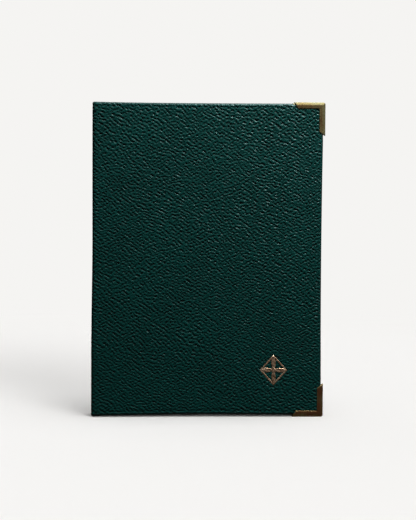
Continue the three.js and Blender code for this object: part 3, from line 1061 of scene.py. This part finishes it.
def floor_material():
    """A matt floor near the object that turns into plain backdrop further out."""
    material = emission_material("studio_floor", BACKDROP)
    tree = material.node_tree
    glow = next(n for n in tree.nodes if n.type == "EMISSION")
    end = next(n for n in tree.nodes if n.type == "OUTPUT_MATERIAL")
    matt = tree.nodes.new("ShaderNodeBsdfDiffuse")
    matt.inputs["Color"].default_value = (*FLOOR_ALBEDO, 1)
    where = tree.nodes.new("ShaderNodeTexCoord")
    distance = tree.nodes.new("ShaderNodeVectorMath")
    distance.operation = "LENGTH"
    tree.links.new(where.outputs["Object"], distance.inputs[0])
    share = tree.nodes.new("ShaderNodeMapRange")
    share.interpolation_type = "SMOOTHSTEP"
    share.inputs["From Min"].default_value = NEAR_FLOOR
    share.inputs["From Max"].default_value = FAR_FLOOR
    tree.links.new(distance.outputs["Value"], share.inputs["Value"])
    mix = tree.nodes.new("ShaderNodeMixShader")
    tree.links.new(share.outputs["Result"], mix.inputs[0])
    tree.links.new(matt.outputs[0], mix.inputs[1])
    tree.links.new(glow.outputs[0], mix.inputs[2])
    tree.links.new(mix.outputs[0], end.inputs["Surface"])
    return material


def stage_disc(name, material, rings):
    """A disc of rings round the origin, each given by its radius and its height as
    shares of the stage's radius. It is closed in the middle if the rings start there."""
    angle = np.linspace(0, 2 * math.pi, 65)[:-1]
    points = [(r * math.cos(a), r * math.sin(a), h) for r, h in rings for a in angle]
    faces = quad_grid(len(rings), len(angle), wrap_columns=True).tolist()
    if rings[0][0] < rings[-1][0]:
        faces.append(list(range(len(angle)))[::-1])
    mesh = bpy.data.meshes.new(name)
    mesh.from_pydata((np.array(points) * STAGE_RADIUS).tolist(), [], faces)
    mesh.materials.append(material)
    piece = bpy.data.objects.new(name, mesh)
    bpy.context.scene.collection.objects.link(piece)
    piece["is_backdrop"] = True
    return piece


floor = stage_disc("floor", floor_material(), [(r, 0) for r in (0.001, 0.1, 0.3, 0.6, 1)])
floor.visible_diffuse = False
floor.visible_glossy = False
bowl_rings = [(math.cos(a), math.sin(a)) for a in np.linspace(0, math.pi / 2 - 0.001, 12)]
bowl = stage_disc("backdrop", emission_material("studio_backdrop", BACKDROP), bowl_rings)
bowl.visible_diffuse = False
bowl.visible_glossy = False
bowl.visible_transmission = False
bowl.visible_shadow = False

world = bpy.data.worlds.new("studio_sky")
bpy.context.scene.world = world
world.use_nodes = True
sky = world.node_tree
direction = sky.nodes.new("ShaderNodeTexCoord")
split = sky.nodes.new("ShaderNodeSeparateXYZ")
sky.links.new(direction.outputs["Generated"], split.inputs[0])
height = sky.nodes.new("ShaderNodeMapRange")
height.inputs["From Min"].default_value = -1
sky.links.new(split.outputs["Z"], height.inputs["Value"])
tone = sky.nodes.new("ShaderNodeValToRGB")
while len(tone.color_ramp.elements) < len(SKY_STOPS):
    tone.color_ramp.elements.new(0.5)
for element, (position, level) in zip(tone.color_ramp.elements, SKY_STOPS):
    element.position = position
    element.color = (level, level * 0.99, level * 0.97, 1)
sky.links.new(height.outputs["Result"], tone.inputs["Fac"])
sky.links.new(tone.outputs["Color"], sky.nodes["Background"].inputs["Color"])
sky.nodes["Background"].inputs["Strength"].default_value = 1.0

# The metal, the rest of the object and the floor are lit apart, as a retoucher would.
lit_object = bpy.data.collections.new("lit_object")
lit_metal = bpy.data.collections.new("lit_metal")
lit_floor = bpy.data.collections.new("lit_floor")
lit_floor.objects.link(floor)
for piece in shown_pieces():
    is_metal = piece.active_material == aged_brass
    (lit_metal if is_metal else lit_object).objects.link(piece)


def aim_light(light, name, place_mm, aim_mm, receivers):
    """Sets a light up so that it lights one collection only."""
    lamp = bpy.data.objects.new(name, light)
    bpy.context.scene.collection.objects.link(lamp)
    lamp.location = Vector(place_mm) * MM
    toward = Vector(aim_mm) - Vector(place_mm)
    lamp.rotation_mode = "QUATERNION"
    lamp.rotation_quaternion = toward.to_track_quat("-Z", "Y")
    lamp.light_linking.receiver_collection = receivers


def softbox(name, place_mm, aim_mm, size_mm, power, receivers):
    """A rectangular lamp near the object."""
    light = bpy.data.lights.new(name, "AREA")
    light.shape = "RECTANGLE"
    light.size, light.size_y = (s * MM for s in size_mm)
    light.energy = power
    aim_light(light, name, place_mm, aim_mm, receivers)


def floor_sun(name, place_mm, spread_degrees, strength):
    """A wide, even light that throws the object's shadow on the floor."""
    light = bpy.data.lights.new(name, "SUN")
    light.angle = math.radians(spread_degrees)
    light.energy = strength
    aim_light(light, name, place_mm, (0, 0, 0), lit_floor)


softbox("key_light", (140, -90, 450), (0, 0, 70), (110, 110), 6.2, lit_object)
softbox("back_light", (-150, 300, 380), (0, 0, 70), (260, 260), 1.6, lit_object)
softbox("metal_light", (140, -90, 450), (0, 0, 70), (200, 200), 2.0, lit_metal)
floor_sun("floor_light", (133, -112, 985), 40, 1.73)
floor_sun("front_light", (483, -836, 259), 40, 2.9)

bpy.context.scene.view_settings.view_transform = "Standard"

# ======================================================================== the camera
CAMERA_DISTANCE = 633.4
CAMERA_AZIMUTH = math.radians(-2.5)
CAMERA_ELEVATION = math.radians(3.0)
CAMERA_ROLL = math.radians(0.3)

lens = bpy.data.cameras.new("camera")
lens.lens = 100
lens.sensor_width = 36
lens.clip_start = 0.01
lens.clip_end = 10
camera = bpy.data.objects.new("camera", lens)
bpy.context.scene.collection.objects.link(camera)
bpy.context.scene.camera = camera
aim = Vector((-0.05, 0, BRASS_TOP / 2 - 0.2)) * MM
back = Vector((
    math.sin(CAMERA_AZIMUTH) * math.cos(CAMERA_ELEVATION),
    -math.cos(CAMERA_AZIMUTH) * math.cos(CAMERA_ELEVATION),
    math.sin(CAMERA_ELEVATION),
))
camera.location = aim + back * CAMERA_DISTANCE * MM
camera.rotation_mode = "QUATERNION"
camera.rotation_quaternion = (-back).to_track_quat("-Z", "Y")
camera.rotation_quaternion.rotate(Matrix.Rotation(CAMERA_ROLL, 3, back).to_quaternion())
